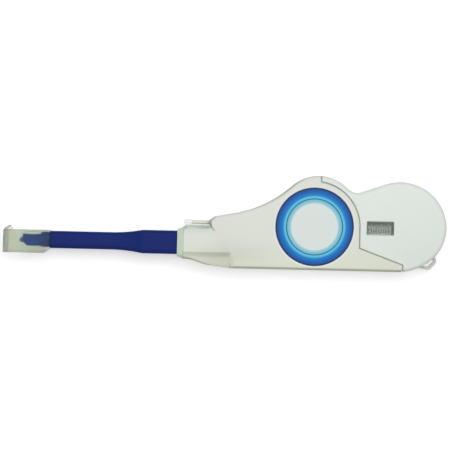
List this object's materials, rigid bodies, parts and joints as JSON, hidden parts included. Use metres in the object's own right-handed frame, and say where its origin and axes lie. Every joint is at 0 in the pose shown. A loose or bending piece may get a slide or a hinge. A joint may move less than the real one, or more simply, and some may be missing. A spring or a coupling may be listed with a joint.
{
  "type": "fibre connector cleaning pen",
  "caption": "Push-to-clean pen for multi-fibre connectors: flat two-reel housing, sliding blue nozzle with tape head, and a hinged-lid guide cap.",
  "frame": {"origin": "axis of the round label, on the flat back face that the pen rests on", "axes": "+X along the pen from the nozzle to the rear, +Y towards the hump and the lock lever, +Z out of the label face"},
  "size_m": [0.2296, 0.0489, 0.02],
  "materials": {
    "housing_ivory": "moulded ABS, fine matt, warm white",
    "cover_white": "moulded ABS, satin, cool white",
    "label_print": "printed film, satin",
    "clear_pane": "clear moulded pane",
    "nozzle_blue": "moulded, satin, deep blue",
    "steel_pin": "ground pin",
    "spring_steel": "spring wire",
    "frame_natural": "moulded acetal, natural",
    "reel_grey": "moulded, grey green",
    "gear_white": "moulded acetal",
    "tape_cloth": "micro-fibre cleaning tape",
    "head_teal": "moulded, grey teal",
    "cap_clear": "translucent polypropylene"
  },
  "bodies": {
    "housing": {"front_shell_top": "housing_ivory", "front_shell_back": "housing_ivory", "rear_cover_top": "cover_white", "rear_cover_back": "cover_white", "nose_collar": "housing_ivory", "label_disc": "label_print", "window_lens": "clear_pane", "lever_pin": "steel_pin", "drive_rack": "gear_white", "return_spring": "spring_steel"},
    "lock_lever_body": {"lock_lever": "cover_white"},
    "carriage": {"nozzle_tube": "nozzle_blue", "tip_guide": "nozzle_blue", "reel_frame": "frame_natural", "tape_feed_run": "tape_cloth", "tape_return_run": "tape_cloth", "head_spring": "spring_steel"},
    "head": {"tape_head": "head_teal", "head_tape": "tape_cloth"},
    "supply": {"supply_reel": "reel_grey", "supply_tape": "tape_cloth"},
    "takeup": {"takeup_reel": "reel_grey", "takeup_tape": "tape_cloth", "drive_gear": "gear_white"},
    "cap": {"guide_cap": "cap_clear"},
    "lid": {"cap_lid": "cap_clear"}
  },
  "joints": [
    {"name": "nozzle_slide", "type": "slide", "parent": "housing", "child": "carriage", "axis": [1, 0, 0], "range_m": [0, 0.012], "stiffness_N_per_m": 400, "springref_m": -0.004, "deforming": ["return_spring"]},
    {"name": "lock_press", "type": "hinge", "parent": "housing", "child": "lock_lever_body", "pos_m": [-0.0527, 0.00115, 0.01], "axis": [0, 0, 1], "range_deg": [0, 2.5], "stiffness_Nm_per_rad": 0.05, "springref_deg": -1.15},
    {"name": "head_slide", "type": "slide", "parent": "carriage", "child": "head", "axis": [1, 0, 0], "range_m": [0, 0.0015], "stiffness_N_per_m": 300, "springref_m": -0.002, "deforming": ["head_spring"]},
    {"name": "takeup_spin", "type": "hinge", "parent": "carriage", "child": "takeup", "pos_m": [0.034, 0, 0.01], "axis": [0, 0, 1], "range_deg": [0, 90]},
    {"name": "supply_spin", "type": "hinge", "parent": "carriage", "child": "supply", "pos_m": [-0.002, 0, 0.01], "axis": [0, 0, 1], "range_deg": [-60, 0]},
    {"name": "cap_pull", "type": "slide", "parent": "carriage", "child": "cap", "axis": [-1, 0, 0], "range_m": [0, 0.018]},
    {"name": "lid_swing", "type": "hinge", "parent": "cap", "child": "lid", "pos_m": [-0.1583, -0.003, 0.01], "axis": [0, 0, -1], "range_deg": [0, 120]}
  ],
  "couplings": [
    {"joint": "takeup_spin", "follows": "nozzle_slide", "rad_per_m": 125},
    {"joint": "supply_spin", "follows": "nozzle_slide", "rad_per_m": -81.731}
  ]
}
